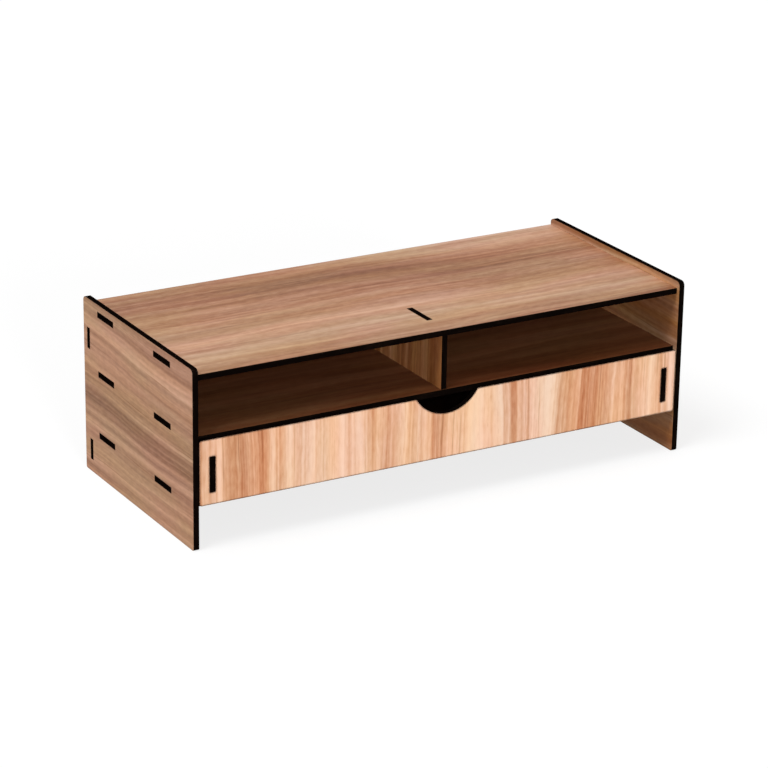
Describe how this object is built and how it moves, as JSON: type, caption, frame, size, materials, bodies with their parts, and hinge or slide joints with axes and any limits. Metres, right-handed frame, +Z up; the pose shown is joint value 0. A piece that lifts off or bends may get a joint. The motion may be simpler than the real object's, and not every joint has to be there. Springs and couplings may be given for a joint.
{
  "type": "monitor stand",
  "caption": "Desk stand that raises a monitor, with open compartments above one full-width drawer that slides out by a scooped finger notch.",
  "frame": {"origin": "on the floor, under the middle of the stand's bounding box", "axes": "+X along the stand's length, -Y towards the user and the drawer's way out, +Z up"},
  "size_m": [0.46, 0.2, 0.152],
  "materials": {
    "walnut_laminate": "satin",
    "dark_laminate": "satin",
    "light_laminate": "satin",
    "drawer_laminate": "satin"
  },
  "bodies": {
    "stand": {"left_side_panel": "walnut_laminate", "right_side_panel": "walnut_laminate", "top_board": "walnut_laminate", "middle_shelf": "dark_laminate", "bottom_board": "dark_laminate", "centre_divider": "walnut_laminate", "upper_back_panel": "dark_laminate", "rear_stretcher": "walnut_laminate"},
    "drawer": {"drawer_front": "light_laminate", "drawer_left_side": "drawer_laminate", "drawer_right_side": "drawer_laminate", "drawer_back": "drawer_laminate", "drawer_bottom": "drawer_laminate"}
  },
  "joints": [
    {"name": "drawer_slide", "type": "slide", "parent": "stand", "child": "drawer", "axis": [0, -1, 0], "range_m": [0, 0.15]}
  ]
}
